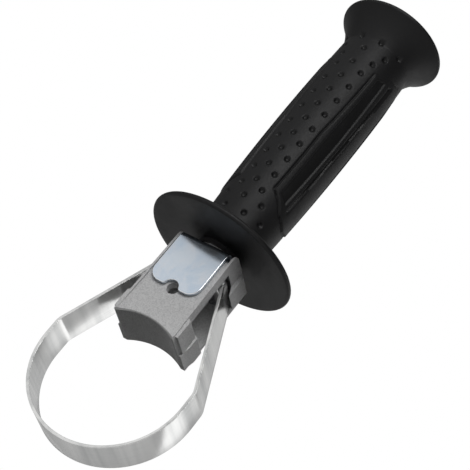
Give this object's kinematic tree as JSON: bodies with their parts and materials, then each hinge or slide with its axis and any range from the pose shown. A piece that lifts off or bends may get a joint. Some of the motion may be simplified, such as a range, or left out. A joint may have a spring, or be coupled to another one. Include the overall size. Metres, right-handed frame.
{
  "type": "power tool side handle",
  "caption": "Screw-tightened side handle with a rubber grip, guard flange, saddle block and a band that clamps round a tool's neck.",
  "frame": {"origin": "centre of the saddle's arc, which is the middle of the seat for the tool's round neck, on the grip's axis", "axes": "+Z along the grip towards its flared end; +Y along the tool's neck, away from the plated rod clamp; +X across the band"},
  "size_m": [0.0668, 0.066, 0.2313],
  "materials": {
    "casting": "die-cast, matt and slightly grainy",
    "zinc_plate": "bright zinc plating with a faint blue tint",
    "band_steel": "bright spring steel strip",
    "fastener_steel": "bright plated",
    "core_plastic": "rigid black plastic",
    "grip_rubber": "soft black rubber, satin"
  },
  "bodies": {
    "block": {"saddle_block": "casting"},
    "rod_clamp": {"rod_clamp_plate": "zinc_plate"},
    "puller": {"clamp_band": "band_steel", "band_pin_left": "fastener_steel", "band_pin_right": "fastener_steel", "draw_yoke": "fastener_steel", "draw_bolt": "fastener_steel"},
    "grip": {"grip_sleeve": "grip_rubber", "grip_core": "core_plastic", "core_nut": "fastener_steel", "nut_washer": "fastener_steel", "thrust_washer": "fastener_steel"}
  },
  "joints": [
    {"name": "rod_clamp_press", "type": "slide", "parent": "block", "child": "rod_clamp", "axis": [0, 0, -1], "range_m": [0, 0.0009]},
    {"name": "grip_turn", "type": "hinge", "parent": "rod_clamp", "child": "grip", "pos_m": [0, 0, 0.1], "axis": [0, 0, 1], "range_deg": [-720, 0]},
    {"name": "band_draw", "type": "slide", "parent": "block", "child": "puller", "axis": [0, 0, 1], "range_m": [0, 0.0016]}
  ],
  "couplings": [
    {"joint": "grip_turn", "follows": "rod_clamp_press", "rad_per_m": -13963},
    {"joint": "band_draw", "follows": "rod_clamp_press", "ratio": 1.7777}
  ]
}
